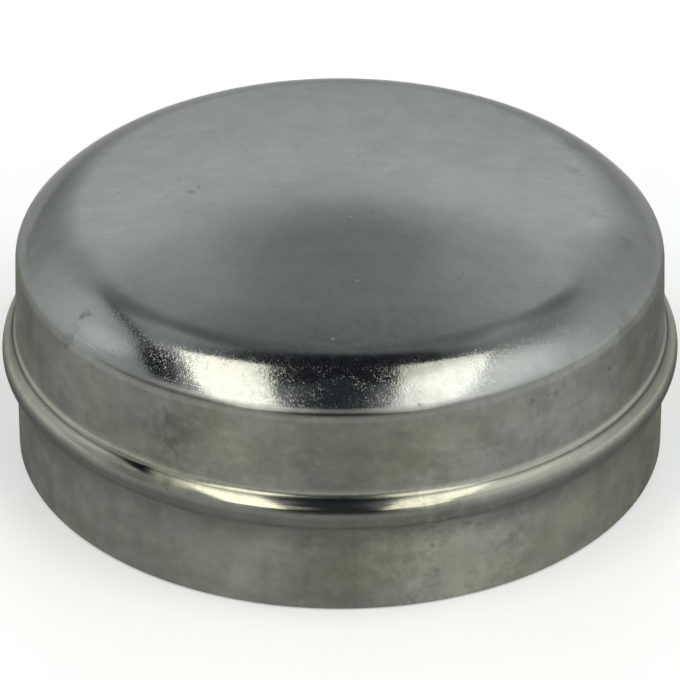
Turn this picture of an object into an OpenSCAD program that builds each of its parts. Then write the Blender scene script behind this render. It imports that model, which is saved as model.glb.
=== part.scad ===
// Press-in grease cap for the hub of a wheel.
// One cup drawn from steel sheet: a straight skirt that is driven into the hub's bore, a hollow bead
// rolled outwards that lands on the hub's face, a wall above it that leans in a little, and a crown
// that rises in a shallow dome from a rounded shoulder.
// It stands on its rim with the crown up, and the origin is the middle of the rim's plane.

/* [Sheet] */
// Thickness of the drawn sheet, the same all over
sheet_t = 0.8; // [0.5:0.05:1]
// Edge broken off the outside of the trimmed rim, so that the skirt starts into the bore
rim_break = 0.2; // [0.1:0.05:0.4]

/* [Skirt] */
// Outer diameter of the skirt, which is the press-fit size
skirt_d = 55.5; // [45:0.5:70]
// Height of the skirt, from the rim to where the bead's foot begins
skirt_h = 7; // [4:0.25:12]

/* [Bead] */
// How far the bead stands out past the skirt and the wall
bead_proud = 1.2; // [0.8:0.05:1.6]
// Outside radius of the hollow foot between the skirt and the bead
bead_foot_r = 1.65; // [1.2:0.05:3]
// Outside radius of the bead's round below its widest line
bead_low_r = 1.1; // [1.1:0.05:2]
// Outside radius of the bead's round above its widest line
bead_top_r = 2; // [1.2:0.05:3]
// Outside radius of the hollow neck between the bead and the wall
bead_neck_r = 0.75; // [0.5:0.05:2]

/* [Wall] */
// Length of the straight wall, from the bead's neck to the corner
wall_h = 6.5; // [3:0.25:14]
// How far the wall leans in, in degrees
wall_draft = 1.75; // [0.5:0.25:4]

/* [Crown] */
// Outside radius of the tight corner at the top of the wall
corner_r = 1.7; // [1.2:0.05:4]
// Slope of the sheet, in degrees from level, where the corner hands over to the shoulder
corner_slope = 49; // [35:1:60]
// Outside radius of the wide shoulder that leads on to the crown
shoulder_r = 8.9; // [4:0.1:12]
// Slope of the sheet, in degrees from level, where the shoulder hands over to the crown
crown_slope = 10; // [4:1:16]

/* [Hidden] */
$fn = 180;

zinc = [0.66, 0.68, 0.68];
// The section's flats stray at most this far from its true rounds
round_error = 0.004;
// Points of the section that lie closer than this are one point
same_point = 0.000001;

function unit(angle) = [cos(angle), sin(angle)];

// Every angle below is that of the sheet's outward normal above level: 0 on an upright wall, 90 on a
// level top. The bead's two angles are those at which its rounds add up to the step that it makes.
foot_angle = acos(1 - bead_proud / (bead_foot_r + bead_low_r));
neck_angle = acos((bead_top_r + bead_neck_r * cos(wall_draft) - bead_proud) / (bead_top_r + bead_neck_r));
corner_angle = 90 - corner_slope;
crown_angle = 90 - crown_slope;

// Centres of the rounds, as [distance from the axis, height above the rim]. Each round starts where
// the one before it ends, with the same normal, so that the sheet runs smoothly from rim to crown.
skirt_r = skirt_d / 2;
bead_r = skirt_r + bead_proud;
bead_z = skirt_h + (bead_foot_r + bead_low_r) * sin(foot_angle);
foot_c = [skirt_r + bead_foot_r, skirt_h];
low_c = [bead_r - bead_low_r, bead_z];
top_c = [bead_r - bead_top_r, bead_z];
neck_c = top_c + (bead_top_r + bead_neck_r) * unit(neck_angle);
corner_c = neck_c - (bead_neck_r + corner_r) * unit(wall_draft) + wall_h * unit(90 + wall_draft);
shoulder_c = corner_c + (corner_r - shoulder_r) * unit(corner_angle);
crown_r = shoulder_r + shoulder_c[0] / cos(crown_angle);
crown_c = shoulder_c + (shoulder_r - crown_r) * unit(crown_angle);

// One round of the section, at a depth under the sheet's outer face. A round that bulges outwards
// has a positive radius, and one that is hollow, with its centre outside the cap, a negative one.
function round_points(centre, r, from, to, depth) =
    let (step = 2 * acos(1 - round_error / abs(r)),
         count = ceil(abs(to - from) / step))
    [for (i = [0:count]) centre + (r - depth) * unit(from + (to - from) * i / count)];

// The face of the sheet above the skirt, from the bead's foot to the top of the crown
function sheet_face(depth) = concat(
    round_points(foot_c, -bead_foot_r, 0, -foot_angle, depth),
    round_points(low_c, bead_low_r, -foot_angle, 0, depth),
    round_points(top_c, bead_top_r, 0, neck_angle, depth),
    round_points(neck_c, -bead_neck_r, neck_angle, wall_draft, depth),
    round_points(corner_c, corner_r, wall_draft, corner_angle, depth),
    round_points(shoulder_c, shoulder_r, corner_angle, crown_angle, depth),
    round_points(crown_c, crown_r, crown_angle, 90, depth)
);

function reversed(points) = [for (i = [len(points) - 1:-1:0]) points[i]];

// Leaves out each point that repeats the one before it, where two rounds meet
function joined(points) = [
    for (i = [0:len(points) - 1])
        if (i == 0 || norm(points[i] - points[i - 1]) > same_point) points[i]
];

// Half of the cap's section: up the outside from the rim, and back down the inside
module sheet_section() {
    rim = [[skirt_r - sheet_t, 0], [skirt_r - rim_break, 0], [skirt_r, rim_break]];
    polygon(joined(concat(rim, sheet_face(0), reversed(sheet_face(sheet_t)))));
}

module grease_cap() {
    color(zinc)
        rotate_extrude()
            sheet_section();
}

grease_cap();
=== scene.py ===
import math

import bmesh
import bpy
from mathutils import Matrix, Vector, noise


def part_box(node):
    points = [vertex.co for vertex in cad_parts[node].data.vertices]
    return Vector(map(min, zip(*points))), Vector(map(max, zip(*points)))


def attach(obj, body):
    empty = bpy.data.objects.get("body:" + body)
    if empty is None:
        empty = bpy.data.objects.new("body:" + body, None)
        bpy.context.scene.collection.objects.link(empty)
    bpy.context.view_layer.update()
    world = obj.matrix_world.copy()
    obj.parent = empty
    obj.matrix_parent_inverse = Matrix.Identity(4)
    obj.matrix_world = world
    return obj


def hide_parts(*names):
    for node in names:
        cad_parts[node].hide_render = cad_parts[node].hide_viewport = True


bl_info = {
    "name": "Hub grease cap",
    "version": (1, 0, 0),
    "blender": (4, 5, 0),
    "location": "3D View > Sidebar > Grease Cap",
    "description": "Turns a drawn sheet steel grease cap with its zinc finish and sets its studio",
    "category": "Object",
}

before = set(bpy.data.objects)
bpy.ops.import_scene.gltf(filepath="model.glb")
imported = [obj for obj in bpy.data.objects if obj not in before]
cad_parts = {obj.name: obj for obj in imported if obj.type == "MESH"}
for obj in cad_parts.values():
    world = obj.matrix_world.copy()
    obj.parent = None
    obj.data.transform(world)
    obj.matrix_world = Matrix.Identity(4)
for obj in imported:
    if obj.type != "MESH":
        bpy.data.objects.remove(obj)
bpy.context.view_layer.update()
CAP_NODE = "grease_cap"
CAP_LOW, CAP_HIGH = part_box(CAP_NODE)

MM = 0.001
BEAD_PROUD = 1.2 * MM


class CapSizes(bpy.types.PropertyGroup):
    """Sizes of the drawn cup, as they are in the part's source"""

    sheet: bpy.props.FloatProperty(
        name="Sheet", description="Thickness of the drawn sheet",
        default=0.8 * MM, min=0.3 * MM, unit="LENGTH", precision=5)
    rim_break: bpy.props.FloatProperty(
        name="Rim break", description="Edge broken off the outside of the trimmed rim",
        default=0.2 * MM, min=0.05 * MM, unit="LENGTH", precision=5)
    skirt_radius: bpy.props.FloatProperty(
        name="Skirt radius", description="Outer radius of the skirt that is driven into the hub",
        default=CAP_HIGH.x - BEAD_PROUD, min=20 * MM, unit="LENGTH", precision=5)
    skirt_height: bpy.props.FloatProperty(
        name="Skirt height", description="From the rim to where the bead's foot begins",
        default=7 * MM, min=1 * MM, unit="LENGTH", precision=5)
    bead_proud: bpy.props.FloatProperty(
        name="Bead", description="How far the bead stands out past the skirt",
        default=BEAD_PROUD, min=0.2 * MM, unit="LENGTH", precision=5)
    foot_radius: bpy.props.FloatProperty(
        name="Foot radius", description="Hollow round between the skirt and the bead",
        default=1.65 * MM, unit="LENGTH", precision=5)
    bead_low_radius: bpy.props.FloatProperty(
        name="Bead's lower radius", description="Round of the bead below its widest line",
        default=1.1 * MM, unit="LENGTH", precision=5)
    bead_top_radius: bpy.props.FloatProperty(
        name="Bead's upper radius", description="Round of the bead above its widest line",
        default=2 * MM, unit="LENGTH", precision=5)
    neck_radius: bpy.props.FloatProperty(
        name="Neck radius", description="Hollow round between the bead and the wall",
        default=0.75 * MM, unit="LENGTH", precision=5)
    wall_length: bpy.props.FloatProperty(
        name="Wall", description="Length of the straight wall above the bead",
        default=6.5 * MM, unit="LENGTH", precision=5)
    wall_draft: bpy.props.FloatProperty(
        name="Wall draft", description="How far the wall leans in",
        default=math.radians(1.75), subtype="ANGLE")
    corner_radius: bpy.props.FloatProperty(
        name="Corner radius", description="Tight round at the top of the wall",
        default=1.7 * MM, unit="LENGTH", precision=5)
    corner_slope: bpy.props.FloatProperty(
        name="Corner slope", description="Slope at which the corner hands over to the shoulder",
        default=math.radians(49), subtype="ANGLE")
    shoulder_radius: bpy.props.FloatProperty(
        name="Shoulder radius", description="Wide round that leads on to the crown",
        default=8.9 * MM, unit="LENGTH", precision=5)
    crown_slope: bpy.props.FloatProperty(
        name="Crown slope", description="Slope at which the shoulder hands over to the crown",
        default=math.radians(10), subtype="ANGLE")
    waviness: bpy.props.FloatProperty(
        name="Waviness", description="How far the drawn sheet strays inwards from its true form",
        default=0.03 * MM, min=0.0, unit="LENGTH", precision=6)
    turns: bpy.props.IntProperty(
        name="Steps round", description="Steps of the full turn", default=360, min=24)


class CapFinish(bpy.types.PropertyGroup):
    """Colours of the zinc plate, of the marks in it, and of the painted shade and painted light on it"""

    crown: bpy.props.FloatVectorProperty(
        name="Crown", description="Satin plate on the crown",
        subtype="COLOR", default=(0.472, 0.484, 0.474))
    burnished: bpy.props.FloatVectorProperty(
        name="Burnished", description="Stretched and burnished plate on the shoulder and the bead",
        subtype="COLOR", default=(0.335, 0.34, 0.335))
    bead: bpy.props.FloatVectorProperty(
        name="Bead", description="Half bright plate on the bead",
        subtype="COLOR", default=(0.36, 0.353, 0.30))
    # Painted shade in part: the wall and upper wall colours on the skirt and walls are set darker than the
    # crown's plate, standing in for darker surroundings that these faces mirror
    wall: bpy.props.FloatVectorProperty(
        name="Wall", description="Greyer plate on the drawn walls",
        subtype="COLOR", default=(0.219, 0.223, 0.203))
    upper_wall: bpy.props.FloatVectorProperty(
        name="Upper wall", description="Slightly paler plate on the wall above the bead",
        subtype="COLOR", default=(0.235, 0.24, 0.220))
    # Painted shade: a darker plate in the hollow between the bead and the skirt
    foot: bpy.props.FloatVectorProperty(
        name="Foot", description="Duller plate in the hollow between the bead and the skirt",
        subtype="COLOR", default=(0.165, 0.17, 0.155))
    # Painted shade: dark lines in the crease at the bead's top and under the bead
    painted_crease_shade: bpy.props.FloatVectorProperty(
        name="Crease", description="Line where the bead's top turns into the neck",
        subtype="COLOR", default=(0.115, 0.12, 0.11))
    pit: bpy.props.FloatVectorProperty(
        name="Pits", description="Paler grain in the pits of the stretched plate",
        subtype="COLOR", default=(0.37, 0.385, 0.39))
    # Also painted shade: large soft patches of this colour darken the walls' front
    stain_and_painted_shade: bpy.props.FloatVectorProperty(
        name="Stain", description="Dull dark marks in the plate",
        subtype="COLOR", default=(0.06, 0.06, 0.052))
    brown: bpy.props.FloatVectorProperty(
        name="Brown", description="Faint brownish patches in the plate",
        subtype="COLOR", default=(0.19, 0.165, 0.115))
    # Also painted light: large faint patches of this colour lighten the skirt and the walls' sides
    speck_and_painted_light: bpy.props.FloatVectorProperty(
        name="Speck", description="Small pale specks and faint pale areas",
        subtype="COLOR", default=(0.75, 0.78, 0.76))
    inside: bpy.props.FloatVectorProperty(
        name="Inside", description="Duller plate on the inside",
        subtype="COLOR", default=(0.34, 0.35, 0.335))


class StageSettings(bpy.types.PropertyGroup):
    """The plain studio round the cap"""

    floor: bpy.props.FloatVectorProperty(
        name="Floor", description="Colour of the floor and backdrop",
        subtype="COLOR", default=(0.925, 0.92, 0.945))
    softbox: bpy.props.FloatProperty(
        name="Softboxes", description="Brightness of the two softboxes, where 1 shows as white",
        default=2.35, min=0.0)
    room: bpy.props.FloatProperty(
        name="Room", description="Brightness of the room round the table", default=1.27, min=0.0)


# Steps of the flat rim, of a straight stretch outside and of the skirt inside
RIM_STEPS = 2
LINE_STEPS = 12
SKIRT_INSIDE_STEPS = 6
# Where along the sheet, in millimetres from the rim, it begins to stray and where it strays in full
STRAY_FROM, STRAY_FULL = 3.0, 7.0
# Shares of the stray that are even, slow round the cap and quick round the cap
STRAY_EVEN, STRAY_SLOW, STRAY_QUICK = 0.5, 0.6, 0.25
# How quickly the slow and the quick stray change, round the cap and along the sheet, and how far apart
# their patterns lie
SLOW_ROUND, SLOW_ALONG = 3.1, 0.05
QUICK_ROUND, QUICK_ALONG = 11.0, 0.16
QUICK_APART = 7.0
# Radius at the middle of the crown within which the stray dies away
STRAY_MIDDLE = 4 * MM
SHARP_EDGE = math.radians(25)
# Points of the section that are closer than this are one, and so are welded points
TOUCHING = 0.001 * MM
WELDED = 0.0005 * MM


def place(r, z):
    """A point of the section, which lies in the plane of X and Z"""
    return Vector((r, 0.0, z))


def unit(angle):
    """Direction in the section's plane, as an angle above level"""
    return Vector((math.cos(angle), 0.0, math.sin(angle)))


def rounds_of(sizes):
    """The rounds of the sheet's outer face from the bead's foot to the top of the crown, each as its
    centre, its radius, which is negative where the round is hollow, the angles of its outward normal
    where it starts and ends, and the steps that it is drawn with"""
    foot = math.acos(1 - sizes.bead_proud / (sizes.foot_radius + sizes.bead_low_radius))
    neck_drop = sizes.neck_radius * math.cos(sizes.wall_draft) - sizes.bead_proud
    neck = math.acos((sizes.bead_top_radius + neck_drop) / (sizes.bead_top_radius + sizes.neck_radius))
    corner = math.pi / 2 - sizes.corner_slope
    crown = math.pi / 2 - sizes.crown_slope
    bead_radius = sizes.skirt_radius + sizes.bead_proud
    bead_z = sizes.skirt_height + (sizes.foot_radius + sizes.bead_low_radius) * math.sin(foot)
    foot_c = place(sizes.skirt_radius + sizes.foot_radius, sizes.skirt_height)
    low_c = place(bead_radius - sizes.bead_low_radius, bead_z)
    top_c = place(bead_radius - sizes.bead_top_radius, bead_z)
    neck_c = top_c + (sizes.bead_top_radius + sizes.neck_radius) * unit(neck)
    corner_c = (neck_c - (sizes.neck_radius + sizes.corner_radius) * unit(sizes.wall_draft)
                + sizes.wall_length * unit(math.pi / 2 + sizes.wall_draft))
    shoulder_c = corner_c + (sizes.corner_radius - sizes.shoulder_radius) * unit(corner)
    crown_radius = sizes.shoulder_radius + shoulder_c.x / math.cos(crown)
    crown_c = shoulder_c + (sizes.shoulder_radius - crown_radius) * unit(crown)
    return [
        (foot_c, -sizes.foot_radius, 0.0, -foot, 16),
        (low_c, sizes.bead_low_radius, -foot, 0.0, 16),
        (top_c, sizes.bead_top_radius, 0.0, neck, 20),
        (neck_c, -sizes.neck_radius, neck, sizes.wall_draft, 14),
        (corner_c, sizes.corner_radius, sizes.wall_draft, corner, 16),
        (shoulder_c, sizes.shoulder_radius, corner, crown, 26),
        (crown_c, crown_radius, crown, math.pi / 2, 30),
    ]


def draw_line(bm, end, steps):
    """Draws the section on in a straight line from its last point"""
    bm.verts.ensure_lookup_table()
    last = bm.verts[-1]
    step = (end - last.co) / steps
    for _ in range(steps):
        made = bmesh.ops.extrude_vert_indiv(bm, verts=[last])
        last = made["verts"][0]
        bmesh.ops.translate(bm, verts=[last], vec=step)


def draw_to(bm, end, steps):
    """Draws a straight line on to where a round starts, if the section isn't there yet"""
    bm.verts.ensure_lookup_table()
    if (end - bm.verts[-1].co).length > TOUCHING:
        draw_line(bm, end, steps)


def draw_round(bm, centre, turn, steps):
    """Draws the section on round a centre from its last point"""
    bm.verts.ensure_lookup_table()
    bmesh.ops.spin(bm, geom=[bm.verts[-1]], cent=centre, axis=(0.0, -1.0, 0.0), angle=turn,
                   steps=steps, use_merge=False, use_duplicate=False)


def draw_section(bm, sizes):
    """Draws half of the cap's section, up the outside and back down the inside, and returns how
    many of its points are on the outside"""
    rounds = rounds_of(sizes)
    bmesh.ops.create_vert(bm, co=place(sizes.skirt_radius - sizes.sheet, 0.0))
    draw_line(bm, place(sizes.skirt_radius - sizes.rim_break, 0.0), RIM_STEPS)
    draw_line(bm, place(sizes.skirt_radius, sizes.rim_break), 1)
    for centre, radius, start, end, steps in rounds:
        draw_to(bm, centre + radius * unit(start), LINE_STEPS)
        draw_round(bm, centre, end - start, steps)
    outside = len(bm.verts)
    for centre, radius, start, end, steps in reversed(rounds):
        line_steps = 1 if len(bm.verts) == outside else LINE_STEPS
        draw_to(bm, centre + (radius - sizes.sheet) * unit(end), line_steps)
        draw_round(bm, centre, start - end, max(6, steps // 2))
    draw_line(bm, place(sizes.skirt_radius - sizes.sheet, 0.0), SKIRT_INSIDE_STEPS)
    return outside


def measure_section(bm, outside):
    """Writes on each point how far along the sheet it lies from the rim, in millimetres, and whether
    it is inside"""
    along = bm.verts.layers.float.new("along")
    within = bm.verts.layers.float.new("inside")
    bm.verts.ensure_lookup_table()
    points = list(bm.verts)
    for face in (points[RIM_STEPS + 1:outside], points[:outside - 1:-1]):
        length = face[0].co.z
        face[0][along] = length / MM
        for before, point in zip(face, face[1:]):
            length += (point.co - before.co).length
            point[along] = length / MM
    for point in points[outside:] + points[:1]:
        point[within] = 1.0


def turn_round(bm, steps):
    """Spins a section through an eighth of a turn, and doubles the eighth three times to a full turn"""
    part = math.pi / 4
    bmesh.ops.spin(bm, geom=bm.verts[:] + bm.edges[:], cent=(0, 0, 0), axis=(0, 0, 1),
                   angle=part, steps=steps // 8, use_merge=False, use_duplicate=False)
    while part < 2 * math.pi - 0.001:
        copy = bmesh.ops.duplicate(bm, geom=bm.verts[:] + bm.edges[:] + bm.faces[:])["geom"]
        bmesh.ops.rotate(bm, verts=[x for x in copy if isinstance(x, bmesh.types.BMVert)],
                         cent=(0, 0, 0), matrix=Matrix.Rotation(part, 3, "Z"))
        part *= 2
    bmesh.ops.remove_doubles(bm, verts=bm.verts, dist=WELDED)
    bmesh.ops.recalc_face_normals(bm, faces=bm.faces)


def turn_cap(sizes):
    """The whole cap as a bmesh, turned from its section"""
    bm = bmesh.new()
    outside = draw_section(bm, sizes)
    measure_section(bm, outside)
    turn_round(bm, sizes.turns)
    return bm


def let_sheet_stray(bm, sizes):
    """Pulls the sheet in a little here and there, as a press leaves it. Both faces of the sheet move
    together, and the rim and the skirt's lower end stay true."""
    along = bm.verts.layers.float["along"]
    for v in bm.verts:
        flat = Vector((v.co.x, v.co.y, 0.0))
        if flat.length < 0.01 * MM:
            continue
        ease = min(1.0, max(0.0, (v[along] - STRAY_FROM) / (STRAY_FULL - STRAY_FROM)))
        out = flat.normalized()
        wave = noise.noise(Vector((out.x * SLOW_ROUND, out.y * SLOW_ROUND, v[along] * SLOW_ALONG)))
        ripple = noise.noise(Vector((out.x * QUICK_ROUND, out.y * QUICK_ROUND,
                                     v[along] * QUICK_ALONG + QUICK_APART)))
        pull = sizes.waviness * ease * (STRAY_EVEN + STRAY_SLOW * wave + STRAY_QUICK * ripple)
        v.co -= out * min(max(pull, 0.0), sizes.waviness) * min(1.0, flat.length / STRAY_MIDDLE)


class Nodes:
    """Places and joins the nodes of one material or node group"""

    def __init__(self, tree):
        self.tree = tree

    def add(self, kind, inputs=None, **settings):
        """A new node with its settings, and its inputs given by a number, a colour or another's output"""
        node = self.tree.nodes.new(kind)
        for name, value in settings.items():
            setattr(node, name, value)
        for name, value in (inputs or {}).items():
            self.set(node.inputs[name], value)
        return node

    def set(self, socket, value):
        if isinstance(value, bpy.types.NodeSocket):
            self.tree.links.new(value, socket)
        else:
            socket.default_value = value

    def math(self, operation, a, b=0.0):
        return self.add("ShaderNodeMath", {0: a, 1: b}, operation=operation).outputs[0]

    def ease(self, value, start, end, low=0.0, high=1.0):
        """Goes smoothly from low at start to high at end"""
        node = self.add("ShaderNodeMapRange", {
            "Value": value, "From Min": start, "From Max": end, "To Min": low, "To Max": high,
        }, interpolation_type="SMOOTHSTEP", clamp=True)
        return node.outputs["Result"]

    def between(self, value, begins, begun, ending, ends):
        """1 from begun to ending, and nothing before it begins or after it ends"""
        return self.math("MULTIPLY", self.ease(value, begins, begun), self.ease(value, ends, ending))

    def mix(self, share, a, b, blend="MIX"):
        """Goes from colour a to colour b, or blends b over a"""
        node = self.add("ShaderNodeMix", data_type="RGBA", blend_type=blend, clamp_factor=True)
        self.set(node.inputs["Factor"], share)
        for name, value in (("A", a), ("B", b)):
            socket = [x for x in node.inputs if x.name == name and x.type == "RGBA"][0]
            self.set(socket, (*value, 1.0) if isinstance(value, (tuple, list)) and len(value) == 3 else value)
        return [x for x in node.outputs if x.type == "RGBA"][0]

    def grey(self, value):
        """A number as a grey"""
        return self.add("ShaderNodeCombineColor", {"Red": value, "Green": value, "Blue": value}).outputs[0]

    def ramp(self, value, stops):
        """A colour or a number that goes straight from stop to stop"""
        node = self.add("ShaderNodeValToRGB", {"Fac": value})
        node.color_ramp.interpolation = "LINEAR"
        elements = node.color_ramp.elements
        while len(elements) > 1:
            elements.remove(elements[-1])
        elements[0].position = stops[0][0]
        elements[0].color = full(stops[0][1])
        for position, colour in stops[1:]:
            elements.new(position).color = full(colour)
        return node.outputs["Color"]

    def noise(self, where, scale, detail, roughness):
        node = self.add("ShaderNodeTexNoise", {
            "Vector": where, "Scale": scale, "Detail": detail, "Roughness": roughness,
        }, noise_dimensions="3D")
        return node.outputs["Fac"]

    def stretched(self, where, scale, place=(0.0, 0.0, 0.0)):
        node = self.add("ShaderNodeMapping", {"Vector": where, "Scale": scale, "Location": place},
                        vector_type="POINT")
        return node.outputs["Vector"]


def full(value):
    """A colour with its alpha, from a colour or a plain number"""
    if isinstance(value, (int, float)):
        return (value, value, value, 1.0)
    return (*value[:3], 1.0)


def new_group(name, inputs, outputs):
    """An empty node group with named number or vector or colour sockets"""
    tree = bpy.data.node_groups.new(name, "ShaderNodeTree")
    kinds = {"number": "NodeSocketFloat", "vector": "NodeSocketVector", "colour": "NodeSocketColor"}
    for socket, kind in inputs:
        tree.interface.new_socket(socket, in_out="INPUT", socket_type=kinds[kind])
    for socket, kind in outputs:
        tree.interface.new_socket(socket, in_out="OUTPUT", socket_type=kinds[kind])
    nodes = Nodes(tree)
    return tree, nodes, nodes.add("NodeGroupInput").outputs, nodes.add("NodeGroupOutput").inputs


# Mean radius of the walls, in millimetres
WALL_RADIUS = 27.0


def sheet_grain_group():
    """Grain of rolled sheet, clouds in the plate, the orange peel of stretched sheet, and the marks of
    the draw round the cap and up its walls. It takes the place on the cap in millimetres and the
    distance along the sheet."""
    tree, nodes, given, out = new_group(
        "sheet_grain", [("Place", "vector"), ("Along", "number")],
        [("Clouds", "number"), ("Blotches", "number"), ("Grain", "number"), ("Orange peel", "number"),
         ("Draw lines", "number"), ("Draw bands", "number"), ("Specks", "number"), ("Pits", "number")])
    where, along = given["Place"], given["Along"]
    nodes.set(out["Clouds"], nodes.noise(where, 0.11, 3.0, 0.55))
    upright = nodes.stretched(where, (1.0, 1.0, 1.3), (31.0, 7.0, 3.0))
    nodes.set(out["Blotches"], nodes.noise(upright, 0.34, 4.0, 0.62))
    nodes.set(out["Grain"], nodes.noise(nodes.stretched(where, (0.10, 1.3, 0.5)), 1.0, 3.0, 0.6))
    parts = nodes.add("ShaderNodeSeparateXYZ", {0: where}).outputs
    flat = nodes.add("ShaderNodeCombineXYZ", {"X": parts["X"], "Y": parts["Y"]}).outputs[0]
    round_cap = nodes.add("ShaderNodeVectorMath", {0: flat}, operation="NORMALIZE").outputs["Vector"]
    sides = nodes.add("ShaderNodeSeparateXYZ", {0: round_cap}).outputs

    def on_sheet(across, lengthwise):
        """A place that depends only on the way round the cap and the distance along the sheet"""
        return nodes.add("ShaderNodeCombineXYZ", {
            "X": nodes.math("MULTIPLY", sides["X"], WALL_RADIUS * across),
            "Y": nodes.math("MULTIPLY", sides["Y"], WALL_RADIUS * across),
            "Z": nodes.math("MULTIPLY", along, lengthwise)}).outputs[0]

    peaks = nodes.ease(nodes.noise(on_sheet(8.0, 5.5), 1.0, 1.0, 0.6), 0.44, 0.86)
    crowded = nodes.ease(nodes.noise(on_sheet(0.9, 0.9), 1.0, 2.0, 0.6), 0.38, 0.62, 0.4, 1.0)
    peaks = nodes.math("MULTIPLY", peaks, crowded)
    nodes.set(out["Pits"], peaks)
    nodes.set(out["Orange peel"], nodes.math("ADD", peaks, nodes.noise(on_sheet(3.5, 3.5), 1.0, 1.0, 0.5)))
    nodes.set(out["Draw lines"], nodes.noise(on_sheet(0.05, 5.0), 1.0, 3.0, 0.6))
    nodes.set(out["Draw bands"], nodes.noise(on_sheet(0.9, 0.04), 1.0, 3.0, 0.6))
    specks = nodes.ease(nodes.noise(where, 2.1, 2.0, 0.6), 0.60, 0.70)
    gathered = nodes.ease(nodes.noise(where, 0.21, 2.0, 0.6), 0.48, 0.62)
    nodes.set(out["Specks"], nodes.math("MULTIPLY", specks, gathered))
    return tree


def sheet_place(nodes):
    """The place on the cap in millimetres and the distance along the sheet from the rim"""
    where = nodes.add("ShaderNodeTexCoord").outputs["Object"]
    scaled = nodes.stretched(where, (1 / MM, 1 / MM, 1 / MM))
    along = nodes.add("ShaderNodeAttribute", attribute_name="along", attribute_type="GEOMETRY").outputs["Fac"]
    return scaled, along


# From the rim to the middle of the crown along the sheet, in millimetres
SHEET_LENGTH = 48.2
# Along the sheet from the rim, in millimetres: colour, roughness, depth of the orange peel, share of
# the blotches, and how far the marks of the draw stretch the shine across them
# The wall and upper colours are partly painted shade, and the foot and crease colours are painted shade at
# the bead
ZONES = [
    (0.0, "wall", 0.48, 0.03, 1.0, 0.85),
    (5.8, "wall", 0.49, 0.03, 1.0, 0.85),
    # Painted shade in the hollow under the bead and on its underside
    (7.4, "foot", 0.58, 0.03, 0.9, 0.6),
    (8.5, "foot", 0.64, 0.03, 0.8, 0.4),
    (9.2, "painted_crease_shade", 0.50, 0.03, 0.7, 0.2),
    (9.95, "painted_crease_shade", 0.40, 0.03, 0.6, 0.1),
    (10.45, "wall", 0.30, 0.05, 0.5, 0.0),
    (10.65, "bead", 0.09, 0.10, 0.3, 0.0),
    (11.45, "bead", 0.08, 0.10, 0.3, 0.0),
    # Painted shade in the crease at the bead's top
    (11.58, "painted_crease_shade", 0.11, 0.10, 0.3, 0.0),
    (11.68, "painted_crease_shade", 0.11, 0.10, 0.3, 0.0),
    (11.80, "bead", 0.13, 0.10, 0.3, 0.0),
    (12.05, "bead", 0.26, 0.10, 0.4, 0.0),
    (12.35, "upper", 0.42, 0.05, 0.6, 0.6),
    (12.7, "upper", 0.50, 0.03, 0.8, 0.9),
    (14.0, "upper", 0.53, 0.03, 1.0, 0.85),
    (18.8, "upper", 0.53, 0.05, 0.9, 0.85),
    (19.35, "upper", 0.34, 0.10, 0.5, 0.2),
    (19.6, "wall", 0.16, 0.10, 0.4, 0.0),
    (19.80, "burnished", 0.34, 0.10, 0.3, 0.0),
    (19.92, "burnished", 0.34, 0.10, 0.3, 0.0),
    (20.05, "burnished", 0.12, 0.60, 0.3, 0.0),
    (20.5, "burnished", 0.08, 1.00, 0.3, 0.0),
    (22.6, "burnished", 0.08, 1.00, 0.3, 0.0),
    (23.6, "burnished", 0.10, 0.80, 0.3, 0.0),
    (26.2, "crown", 0.16, 0.12, 0.3, 0.0),
    (28.0, "crown", 0.17, 0.03, 0.3, 0.0),
    (SHEET_LENGTH, "crown", 0.17, 0.03, 0.3, 0.0),
]
# Places in millimetres where handling has dulled the plate, how far round them, and how much rougher
DULLED = [
    ((25.5, -9.0, 19.5), 9.5, 0.26),
    ((-25.5, -9.5, 19.5), 8.0, 0.16),
    ((25.5, -10.0, 10.0), 14.0, 0.16),
    ((-14.2, -25.2, 11.3), 3.2, 0.20),
    ((-25.5, -10.0, 10.0), 14.0, 0.18),
]
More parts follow.
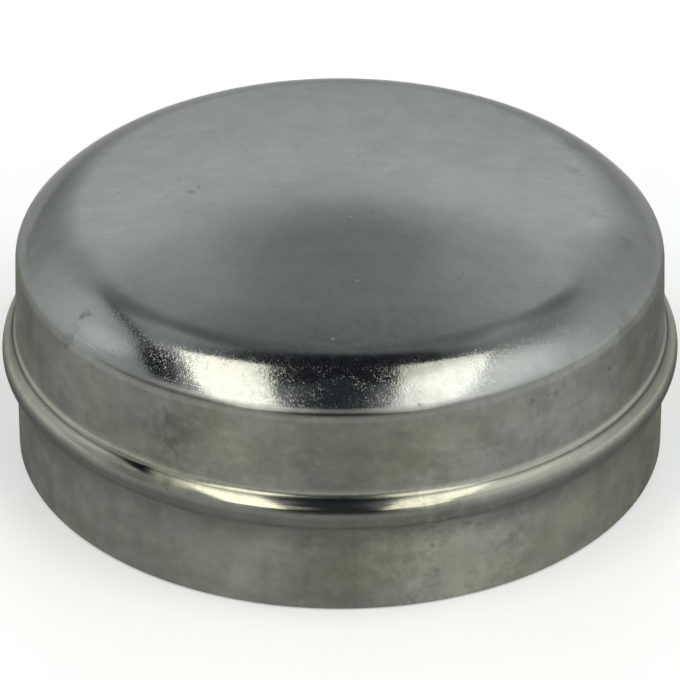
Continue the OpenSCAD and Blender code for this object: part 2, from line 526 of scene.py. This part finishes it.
# Marks in the plate, small and large, and soft patches of painted shade and painted light: their place on the
# cap in millimetres, their radius, their strength and their kind
MARKS = [
    ((-21.3, -14.7, 20.3), 0.55, 0.45, "stain_and_painted_shade"),
    ((-20.7, -14.8, 20.6), 0.45, 0.40, "stain_and_painted_shade"),
    ((-22.4, -15.7, 18.7), 1.30, 0.35, "stain_and_painted_shade"),
    ((-13.4, -24.2, 15.5), 1.70, 0.26, "stain_and_painted_shade"),
    ((-13.0, -24.4, 15.0), 4.20, 0.20, "stain_and_painted_shade"),
    ((-13.6, -24.1, 13.9), 1.10, 0.26, "stain_and_painted_shade"),
    ((-12.6, 0.6, 23.3), 0.45, 0.30, "stain_and_painted_shade"),
    ((-12.0, 1.4, 23.3), 0.35, 0.30, "stain_and_painted_shade"),
    ((7.6, -26.7, 5.7), 0.28, 0.55, "stain_and_painted_shade"),
    ((8.0, -26.6, 3.1), 0.34, 0.50, "stain_and_painted_shade"),
    ((15.7, -22.7, 17.2), 0.30, 0.45, "stain_and_painted_shade"),
    ((17.0, -21.7, 17.1), 0.26, 0.45, "stain_and_painted_shade"),
    ((17.7, -21.2, 17.0), 0.30, 0.45, "stain_and_painted_shade"),
    ((22.2, -16.3, 16.3), 0.34, 0.50, "stain_and_painted_shade"),
    ((23.2, -14.5, 18.8), 0.50, 0.28, "stain_and_painted_shade"),
    ((23.6, -13.6, 19.0), 1.50, 0.20, "stain_and_painted_shade"),
    ((21.0, -17.9, 17.0), 2.60, 0.16, "stain_and_painted_shade"),
    ((16.7, -22.1, 17.0), 2.20, 0.14, "stain_and_painted_shade"),
    # Painted shade: soft dark patches on the skirt's front
    ((-1.0, -27.7, 3.5), 5.50, 0.16, "stain_and_painted_shade"),
    ((0.0, -27.7, 6.0), 3.50, 0.20, "stain_and_painted_shade"),
    # Painted light: a faint pale patch on the skirt to the right of the front
    ((10.0, -25.9, 3.5), 7.00, 0.10, "speck_and_painted_light"),
    # Painted shade: a soft dark patch on the upper wall to the left of the front
    ((-9.5, -24.5, 15.0), 6.00, 0.18, "stain_and_painted_shade"),
    ((-14.2, -25.0, 10.9), 1.00, 0.34, "stain_and_painted_shade"),
    ((-16.4, -23.7, 11.5), 0.60, 0.40, "stain_and_painted_shade"),
    ((-12.4, -25.9, 10.9), 0.50, 0.30, "stain_and_painted_shade"),
    # Painted light: faint pale patches on the upper wall's sides
    ((18.9, -18.8, 15.5), 7.00, 0.06, "speck_and_painted_light"),
    ((-20.5, -17.0, 15.5), 5.00, 0.05, "speck_and_painted_light"),
    ((24.5, -4.2, 21.9), 1.40, 0.22, "stain_and_painted_shade"),
    ((24.8, -2.0, 21.9), 1.00, 0.18, "stain_and_painted_shade"),
    ((21.9, -1.0, 22.9), 1.60, 0.14, "stain_and_painted_shade"),
    # Painted shade: a large soft dark patch on the upper wall's front
    ((2.0, -26.4, 16.0), 11.0, 0.20, "stain_and_painted_shade"),
    ((6.4, -26.4, 19.1), 0.22, 0.70, "stain_and_painted_shade"),
    ((4.7, -27.2, 16.6), 1.60, 0.14, "stain_and_painted_shade"),
    ((10.6, -25.5, 16.1), 2.40, 0.20, "brown"),
    ((5.9, -27.0, 14.0), 2.20, 0.30, "brown"),
    ((0.5, -27.6, 15.1), 2.20, 0.22, "brown"),
    ((0.9, -27.7, 3.4), 2.60, 0.20, "brown"),
    ((20.2, 11.3, 21.7), 1.50, 0.25, "brown"),
    ((20.0, 6.1, 22.2), 1.10, 0.20, "brown"),
    ((1.4, -13.7, 23.2), 0.22, 0.9, "speck_and_painted_light"),
    ((-0.6, -21.2, 22.1), 0.20, 0.9, "speck_and_painted_light"),
    ((0.9, -4.5, 23.8), 0.18, 0.6, "speck_and_painted_light"),
]


# How far the edge of a mark wanders, and where its full strength begins, as shares of its radius
MARK_WANDER = 2.2
MARK_FULL = 0.3
DULLED_FULL = 0.4
# How much the blotches, the bands and the clouds in the plate and its grain lighten and darken it
BLOTCH_SHADE = 0.13
BAND_SHADE = 0.04
CLOUD_SHADE = 0.03
GRAIN_SHADE = 0.012
SPECK_SHADE = 0.16
WARM_TINT = (1.02, 1.0, 0.90)
CLOUD_ROUGHNESS = 0.015
PIT_ROUGHNESS = 0.33
# Heights of the orange peel and of the lines of the draw, in millimetres
PEEL_HEIGHT = 0.0032
LINE_HEIGHT = 0.001
WORKED_LINE_HEIGHT = 0.015
INSIDE_LINE_HEIGHT = 0.012
# Where along the sheet the press has worked it most, in millimetres: where that begins, is full, is no
# longer full and ends
CORNER_WORKED = (19.6, 19.9, 20.6, 21.4)
BEAD_WORKED = (10.6, 10.8, 12.0, 12.2)


def add_marks(nodes, where, base, colours):
    """Stains, brownish patches and pale specks, and soft patches of painted shade and painted light, with
    edges that a noise breaks up
    """
    wander = nodes.add("ShaderNodeTexNoise", {
        "Vector": where, "Scale": 1.1, "Detail": 3.0, "Roughness": 0.6}, noise_dimensions="3D")
    moved = nodes.add("ShaderNodeVectorMath", {
        0: wander.outputs["Color"], 1: (0.5, 0.5, 0.5)}, operation="SUBTRACT").outputs["Vector"]
    kinds = {"stain_and_painted_shade": colours.stain_and_painted_shade, "brown": colours.brown, "speck_and_painted_light": colours.speck_and_painted_light}
    for centre, radius, strength, kind in MARKS:
        loose = nodes.add("ShaderNodeVectorMath", {
            0: moved, 1: (radius * MARK_WANDER,) * 3, 2: where}, operation="MULTIPLY_ADD").outputs["Vector"]
        away = nodes.add("ShaderNodeVectorMath", {0: loose, 1: centre}, operation="DISTANCE").outputs["Value"]
        share = nodes.ease(away, radius, radius * MARK_FULL, 0.0, strength)
        base = nodes.mix(share, base, tuple(kinds[kind]))
    return base


def plate(name, grain):
    """A new plated metal: its material, its nodes, its shader, the place on the cap, the distance along
    the sheet, and the marks of the sheet"""
    material = bpy.data.materials.new(name)
    material.use_nodes = True
    nodes = Nodes(material.node_tree)
    shader = material.node_tree.nodes["Principled BSDF"]
    shader.inputs["Metallic"].default_value = 1.0
    where, along = sheet_place(nodes)
    marks = nodes.add("ShaderNodeGroup", {"Place": where, "Along": along}, node_tree=grain).outputs
    return material, nodes, shader, where, along, marks


def outside_finish(colours, grain):
    """Zinc plate on the cap's outside: satin crown, dimpled and burnished shoulder, greyer walls with painted
    shade, and painted shade in the bead's crease and foot
    """
    material, nodes, shader, where, along, marks = plate("zinc_plate_outside", grain)
    share = nodes.math("DIVIDE", along, SHEET_LENGTH)
    tint = {"wall": colours.wall, "burnished": colours.burnished, "crown": colours.crown,
            "upper": colours.upper_wall, "bead": colours.bead, "painted_crease_shade": colours.painted_crease_shade,
            "foot": colours.foot}
    # The zone colours paint shade on the walls and at the bead
    base = nodes.ramp(share, [(zone[0] / SHEET_LENGTH, tuple(tint[zone[1]])) for zone in ZONES])
    rough, depth, blotched, stretch = (
        nodes.ramp(share, [(zone[0] / SHEET_LENGTH, zone[column]) for zone in ZONES])
        for column in (2, 3, 4, 5))
    blotch = nodes.ease(marks["Blotches"], 0.32, 0.68, -BLOTCH_SHADE, BLOTCH_SHADE)
    bands = nodes.ease(marks["Draw bands"], 0.3, 0.7, -BAND_SHADE, BAND_SHADE)
    shade = nodes.math("ADD", 1.0, nodes.math("MULTIPLY", nodes.math("ADD", blotch, bands), blotched))
    shade = nodes.math("ADD", shade, nodes.ease(marks["Clouds"], 0.3, 0.7, -CLOUD_SHADE, CLOUD_SHADE))
    shade = nodes.math("ADD", shade, nodes.ease(marks["Grain"], 0.3, 0.7, -GRAIN_SHADE, GRAIN_SHADE))
    shade = nodes.math("SUBTRACT", shade, nodes.math("MULTIPLY", marks["Specks"], SPECK_SHADE))
    base = nodes.mix(1.0, base, nodes.grey(shade), "MULTIPLY")
    warmth = nodes.math("MULTIPLY", nodes.ease(marks["Clouds"], 0.42, 0.62), blotched)
    base = nodes.mix(warmth, base, nodes.mix(1.0, base, WARM_TINT, "MULTIPLY"))
    # Besides stains and specks, the marks paint shade on the walls' front and light on their sides
    base = add_marks(nodes, where, base, colours)
    pits = nodes.math("MULTIPLY", marks["Pits"], depth)
    nodes.set(shader.inputs["Base Color"], nodes.mix(pits, base, tuple(colours.pit)))
    clouded = nodes.ease(marks["Clouds"], 0.3, 0.7, CLOUD_ROUGHNESS, -CLOUD_ROUGHNESS)
    rough = nodes.math("ADD", rough, clouded)
    rough = nodes.math("ADD", rough, nodes.math("MULTIPLY", pits, PIT_ROUGHNESS))
    for centre, radius, amount in DULLED:
        away = nodes.add("ShaderNodeVectorMath", {0: where, 1: centre}, operation="DISTANCE").outputs["Value"]
        dulled = nodes.ease(away, radius, radius * DULLED_FULL, 0.0, amount)
        rough = nodes.math("ADD", rough, nodes.math("MULTIPLY", dulled, nodes.math("SUBTRACT", 1.0, rough)))
    nodes.set(shader.inputs["Roughness"], rough)
    worked = nodes.math("ADD", nodes.between(along, *CORNER_WORKED), nodes.between(along, *BEAD_WORKED))
    worked = nodes.math("MULTIPLY", worked, WORKED_LINE_HEIGHT)
    lines = nodes.math("MULTIPLY", marks["Draw lines"], nodes.math("ADD", LINE_HEIGHT, worked))
    peel = nodes.math("MULTIPLY", nodes.math("MULTIPLY", marks["Orange peel"], depth), PEEL_HEIGHT)
    height = nodes.math("ADD", peel, lines)
    bump = nodes.add("ShaderNodeBump", {"Height": height, "Strength": 1.0, "Distance": 1.0 * MM})
    nodes.set(shader.inputs["Normal"], bump.outputs["Normal"])
    nodes.set(shader.inputs["Anisotropic"], stretch)
    nodes.set(shader.inputs["Tangent"], nodes.add("ShaderNodeCombineXYZ", {"Z": 1.0}).outputs[0])
    shader.inputs["Specular Tint"].default_value = (0.45, 0.45, 0.45, 1.0)
    return material


def inside_finish(colours, grain):
    """Duller plate on the inside, with the marks of the draw"""
    material, nodes, shader, _, _, marks = plate("zinc_plate_inside", grain)
    shade = nodes.math("ADD", nodes.ease(marks["Clouds"], 0.3, 0.7, 0.85, 1.05),
                       nodes.ease(marks["Draw lines"], 0.3, 0.7, -0.06, 0.06))
    base = nodes.mix(1.0, tuple(colours.inside), nodes.grey(shade), "MULTIPLY")
    nodes.set(shader.inputs["Base Color"], base)
    nodes.set(shader.inputs["Roughness"], nodes.ease(marks["Clouds"], 0.3, 0.7, 0.42, 0.34))
    height = nodes.math("MULTIPLY", marks["Draw lines"], INSIDE_LINE_HEIGHT)
    bump = nodes.add("ShaderNodeBump", {"Height": height, "Strength": 1.0, "Distance": 1.0 * MM})
    nodes.set(shader.inputs["Normal"], bump.outputs["Normal"])
    return material


class CAP_OT_turn_cap(bpy.types.Operator):
    """Turns the cap from its section and plates it"""

    bl_idname = "grease_cap.turn_cap"
    bl_label = "Turn Grease Cap"
    bl_options = {"REGISTER", "UNDO"}

    def execute(self, context):
        sizes = context.scene.cap_sizes
        colours = context.scene.cap_finish
        bm = turn_cap(sizes)
        let_sheet_stray(bm, sizes)
        within = bm.verts.layers.float["inside"]
        for face in bm.faces:
            face.smooth = True
            face.material_index = 1 if all(v[within] > 0.5 for v in face.verts) else 0
        for edge in bm.edges:
            if len(edge.link_faces) == 2 and edge.calc_face_angle(0.0) > SHARP_EDGE:
                edge.smooth = False
        mesh = bpy.data.meshes.new("drawn_cup")
        bm.to_mesh(mesh)
        bm.free()
        cap = bpy.data.objects.new("drawn_cup", mesh)
        context.scene.collection.objects.link(cap)
        grain = sheet_grain_group()
        mesh.materials.append(outside_finish(colours, grain))
        mesh.materials.append(inside_finish(colours, grain))
        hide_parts(CAP_NODE)
        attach(cap, "root")
        return {"FINISHED"}


# The floor is open under the cap, and lies a hair below the rim
FLOOR_HOLE = 26.2 * MM
FLOOR_DROP = 0.05 * MM
FLOOR_RADIUS = 0.9
BACKDROP_ROUND = 0.45
BACKDROP_TURN = math.radians(30)
FLOOR_STEPS = 8
BACKDROP_STEPS = 12
FLOOR_ROUND_STEPS = 96
FLOOR_ROUGHNESS = 0.32
FLOOR_IOR = 1.5
# What the floor adds to itself where the camera sees it, straight or mirrored
FLOOR_GLOW = 0.24
FLOOR_GLOW_COLOUR = (1.0, 0.985, 0.99, 1.0)
CAMERA_ELEVATION = 0.5522
CAMERA_DISTANCE = 0.444
CAMERA_TARGET = 8.969 * MM
CAMERA_LENS = 273.79


def floor_finish(colour):
    """Pale satin floor, which is clear from below so that the cap's inside can be looked at"""
    material = bpy.data.materials.new("pale_floor")
    material.use_nodes = True
    nodes = Nodes(material.node_tree)
    shader = material.node_tree.nodes["Principled BSDF"]
    shader.inputs["Base Color"].default_value = (*colour, 1.0)
    shader.inputs["Roughness"].default_value = FLOOR_ROUGHNESS
    shader.inputs["IOR"].default_value = FLOOR_IOR
    path = nodes.add("ShaderNodeLightPath").outputs
    seen = nodes.math("MAXIMUM", path["Is Camera Ray"], path["Is Glossy Ray"])
    shader.inputs["Emission Color"].default_value = FLOOR_GLOW_COLOUR
    nodes.set(shader.inputs["Emission Strength"], nodes.math("MULTIPLY", seen, FLOOR_GLOW))
    clear = nodes.add("ShaderNodeBsdfTransparent")
    side = nodes.add("ShaderNodeNewGeometry").outputs["Backfacing"]
    mixed = nodes.add("ShaderNodeMixShader", {0: side, 1: shader.outputs[0], 2: clear.outputs[0]})
    nodes.set(material.node_tree.nodes["Material Output"].inputs["Surface"], mixed.outputs[0])
    return material


def lay_floor(context, stage):
    """A round floor whose edge sweeps up into a low backdrop"""
    bm = bmesh.new()
    bmesh.ops.create_vert(bm, co=place(FLOOR_HOLE, -FLOOR_DROP))
    draw_line(bm, place(FLOOR_RADIUS, -FLOOR_DROP), FLOOR_STEPS)
    draw_round(bm, place(FLOOR_RADIUS, BACKDROP_ROUND - FLOOR_DROP), BACKDROP_TURN, BACKDROP_STEPS)
    turn_round(bm, FLOOR_ROUND_STEPS)
    if sum(f.normal.z * f.calc_area() for f in bm.faces) < 0:
        bmesh.ops.reverse_faces(bm, faces=bm.faces)
    for face in bm.faces:
        face.smooth = True
    mesh = bpy.data.meshes.new("floor")
    bm.to_mesh(mesh)
    bm.free()
    mesh.materials.append(floor_finish(stage.floor))
    floor = bpy.data.objects.new("floor", mesh)
    context.scene.collection.objects.link(floor)


# Each softbox's name, the way to its middle, the way it lies, its width, its length and its share of
# the brightness
SOFTBOXES = [
    ("softbox_left", (-0.436, -0.422, 0.794), (0.060, 0.864, 0.499), 0.40, 1.62, 1.12),
    ("softbox_right", (0.391, -0.452, 0.802), (-0.043, 0.861, 0.506), 0.41, 1.72, 0.74),
]


SOFTBOX_DISTANCE = 1.2
SOFTBOX_COLOUR = (1.0, 0.98, 0.84)


def hang_softbox(context, name, towards, lengthwise, width, length, share, brightness):
    """A long softbox that leans from low in front to high over the cap"""
    towards = Vector(towards).normalized()
    lengthwise = Vector(lengthwise)
    lengthwise = (lengthwise - towards * lengthwise.dot(towards)).normalized()
    light = bpy.data.lights.new(name, "AREA")
    light.shape = "RECTANGLE"
    light.size = width
    light.size_y = length
    light.energy = share * brightness * math.pi * width * length
    light.color = SOFTBOX_COLOUR
    box = bpy.data.objects.new(name, light)
    turn = Matrix((lengthwise.cross(towards), lengthwise, towards)).transposed().to_4x4()
    box.matrix_world = Matrix.Translation(towards * SOFTBOX_DISTANCE) @ turn
    context.scene.collection.objects.link(box)


DARK = (0.012, 0.015, 0.02)
# How far up from level, in degrees, and the room's colour there
ROOM_LEVELS = [
    (-90, (0.80, 0.80, 0.79)),
    (-5, (0.60, 0.60, 0.59)),
    (0, (0.45, 0.455, 0.45)),
    (45, (0.44, 0.45, 0.45)),
    (60, (0.36, 0.37, 0.37)),
    (70, (0.12, 0.13, 0.14)),
    (77, DARK),
    (90, (0.01, 0.012, 0.014)),
]
# The dark gap between the softboxes: how far to each side of the front it ends and is full, in
# degrees, where it begins and is full above level, and its colour
GAP_ENDS, GAP_FULL = 30, 12
GAP_FROM, GAP_UP = 3, 14
GAP_COLOUR = (0.034, 0.043, 0.05)
# Round from the camera and up from level, in degrees: where a patch of the room lies, how far out it
# is full and how far out it ends, its share and its colour
ROOM_PATCHES = [
    (175, 10, 20, 38, 1.0, (0.58, 0.585, 0.585)),
    (-118, 27, 14, 25, 1.0, (0.66, 0.67, 0.65)),
    (-104, 38, 4, 11, 0.9, (0.86, 0.87, 0.84)),
    (65, 32, 10, 48, 1.0, (0.76, 0.765, 0.74)),
    (70, 52, 2, 26, 1.0, (1.11, 1.11, 1.05)),
    (-64, 20, 9, 20, 0.8, (0.22, 0.23, 0.22)),
    (100, -10, 12, 28, 1.0, (0.98, 1.0, 1.0)),
    (-102, -10, 12, 28, 1.0, (0.92, 0.94, 0.94)),
    (-148, 12, 8, 24, 0.8, (0.40, 0.41, 0.405)),
    (180, 44, 12.0, 13.4, 0.9, (0.34, 0.35, 0.34)),
    (180, 38.5, 3.5, 7, 0.9, (0.165, 0.17, 0.165)),
    (180, 46, 3, 9, 0.9, (0.215, 0.22, 0.215)),
    (-161, 42, 2, 7, 0.6, (0.25, 0.255, 0.25)),
    (-163, 58, 4, 10, 0.9, (0.09, 0.095, 0.09)),
    (-150, 47, 3, 9.5, 0.85, (0.13, 0.135, 0.13)),
    (167, 54, 2, 9, 0.9, (0.155, 0.16, 0.155)),
    (149, 46, 2, 9.5, 0.85, (0.14, 0.145, 0.14)),
    (132, 52, 3, 11, 0.6, (0.26, 0.265, 0.26)),
    (180, 57, 5, 11, 0.9, (0.15, 0.155, 0.15)),
    (-168, 51.5, 2.5, 7, 0.8, (0.13, 0.14, 0.14)),
    (158, 60, 2, 7, 0.6, (0.11, 0.115, 0.11)),
    (180, 80, 12, 18, 1.0, DARK),
    (-19, 37, 3, 10, 0.8, (0.62, 0.61, 0.56)),
]
# Thin dark streaks of the room, each from one place to another in degrees, how far out it is full and
# how far out it ends, its share, and the round patch that it is kept to
ROOM_STREAKS = [
    ((-74, 43), (-110, 55.6), 3.4, 6.0, 1.0, (-84, 49, 8, 19)),
    ((-104, 53.5), (-138, 47), 0.8, 2.8, 0.85, (-119, 51, 12, 20)),
]
ROOM_TINT = (0.975, 1.03, 1.035)


def light_room(context, stage):
    """A dim room: pale low down, dark overhead and straight in front of the cap"""
    world = bpy.data.worlds.new("room")
    context.scene.world = world
    world.use_nodes = True
    nodes = Nodes(world.node_tree)
    way = nodes.add("ShaderNodeTexCoord").outputs["Generated"]
    parts = nodes.add("ShaderNodeSeparateXYZ", {0: way}).outputs
    up = parts["Z"]
    height = nodes.math("ADD", nodes.math("MULTIPLY", up, 0.5), 0.5)

    room = nodes.ramp(height, [
        (0.5 + 0.5 * math.sin(math.radians(above)), colour) for above, colour in ROOM_LEVELS])
    flat = nodes.math("SQRT", nodes.math("ADD", nodes.math("MULTIPLY", parts["X"], parts["X"]),
                                         nodes.math("MULTIPLY", parts["Y"], parts["Y"])))
    front = nodes.math("DIVIDE", nodes.math("MULTIPLY", parts["Y"], -1.0), nodes.math("MAXIMUM", flat, 0.001))
    aside = nodes.ease(front, math.cos(math.radians(GAP_ENDS)), math.cos(math.radians(GAP_FULL)))
    above_level = nodes.ease(up, math.sin(math.radians(GAP_FROM)), math.sin(math.radians(GAP_UP)))
    room = nodes.mix(nodes.math("MULTIPLY", aside, above_level), room, GAP_COLOUR)

    def towards(azimuth, elevation):
        """Direction from the cap, in degrees round from the camera and up from level"""
        a, e = math.radians(azimuth), math.radians(elevation)
        return Vector((math.sin(a) * math.cos(e), -math.cos(a) * math.cos(e), math.sin(e)))

    def patch(azimuth, elevation, inner, outer):
        """A soft round patch of the room"""
        near = nodes.add("ShaderNodeVectorMath", {0: way, 1: towards(azimuth, elevation)},
                         operation="DOT_PRODUCT").outputs["Value"]
        return nodes.ease(near, math.cos(math.radians(outer)), math.cos(math.radians(inner)))

    for *where, share, colour in ROOM_PATCHES:
        room = nodes.mix(nodes.math("MULTIPLY", patch(*where), share), room, colour)
    for start, end, inner, outer, share, kept in ROOM_STREAKS:
        square = towards(*start).cross(towards(*end)).normalized()
        off = nodes.add("ShaderNodeVectorMath", {0: way, 1: square}, operation="DOT_PRODUCT").outputs["Value"]
        streak = nodes.ease(nodes.math("ABSOLUTE", off), math.sin(math.radians(outer)),
                            math.sin(math.radians(inner)), 0.0, share)
        room = nodes.mix(nodes.math("MULTIPLY", streak, patch(*kept)), room, DARK)
    room = nodes.mix(1.0, room, ROOM_TINT, "MULTIPLY")
    background = world.node_tree.nodes["Background"]
    nodes.set(background.inputs["Color"], room)
    background.inputs["Strength"].default_value = stage.room


def aim_camera(context):
    """The camera at the photograph's viewing angle"""
    data = bpy.data.cameras.new("camera")
    data.sensor_width = 36.0
    data.lens = CAMERA_LENS
    data.clip_start = 0.01
    data.clip_end = 20.0
    camera = bpy.data.objects.new("camera", data)
    back = Vector((0.0, -math.cos(CAMERA_ELEVATION), math.sin(CAMERA_ELEVATION)))
    camera.rotation_mode = "QUATERNION"
    camera.rotation_quaternion = (-back).to_track_quat("-Z", "Y")
    camera.location = Vector((0.0, 0.0, CAMERA_TARGET)) + back * CAMERA_DISTANCE
    context.scene.collection.objects.link(camera)
    context.scene.camera = camera


class CAP_OT_set_stage(bpy.types.Operator):
    """Lays the pale floor, hangs the softboxes, lights the room and aims the camera"""

    bl_idname = "grease_cap.set_stage"
    bl_label = "Set Stage"
    bl_options = {"REGISTER", "UNDO"}

    def execute(self, context):
        stage = context.scene.cap_stage
        context.scene.view_settings.view_transform = "Standard"
        lay_floor(context, stage)
        for softbox in SOFTBOXES:
            hang_softbox(context, *softbox, stage.softbox)
        light_room(context, stage)
        aim_camera(context)
        return {"FINISHED"}


class CAP_PT_panel(bpy.types.Panel):
    """The cap's operators, sizes and colours"""

    bl_idname = "CAP_PT_panel"
    bl_label = "Grease Cap"
    bl_space_type = "VIEW_3D"
    bl_region_type = "UI"
    bl_category = "Grease Cap"

    def draw(self, context):
        for settings in (context.scene.cap_sizes, context.scene.cap_finish, context.scene.cap_stage):
            box = self.layout.box()
            for name in settings.__annotations__:
                box.prop(settings, name)
        self.layout.operator(CAP_OT_turn_cap.bl_idname)
        self.layout.operator(CAP_OT_set_stage.bl_idname)


CLASSES = (CapSizes, CapFinish, StageSettings, CAP_OT_turn_cap, CAP_OT_set_stage, CAP_PT_panel)


def register():
    for cls in CLASSES:
        bpy.utils.register_class(cls)
    bpy.types.Scene.cap_sizes = bpy.props.PointerProperty(type=CapSizes)
    bpy.types.Scene.cap_finish = bpy.props.PointerProperty(type=CapFinish)
    bpy.types.Scene.cap_stage = bpy.props.PointerProperty(type=StageSettings)


def unregister():
    del bpy.types.Scene.cap_stage
    del bpy.types.Scene.cap_finish
    del bpy.types.Scene.cap_sizes
    for cls in reversed(CLASSES):
        bpy.utils.unregister_class(cls)


def main():
    """Makes the cap and its stage"""
    register()
    bpy.ops.grease_cap.turn_cap()
    bpy.ops.grease_cap.set_stage()
    bpy.context.view_layer.update()


if __name__ == "__main__":
    main()
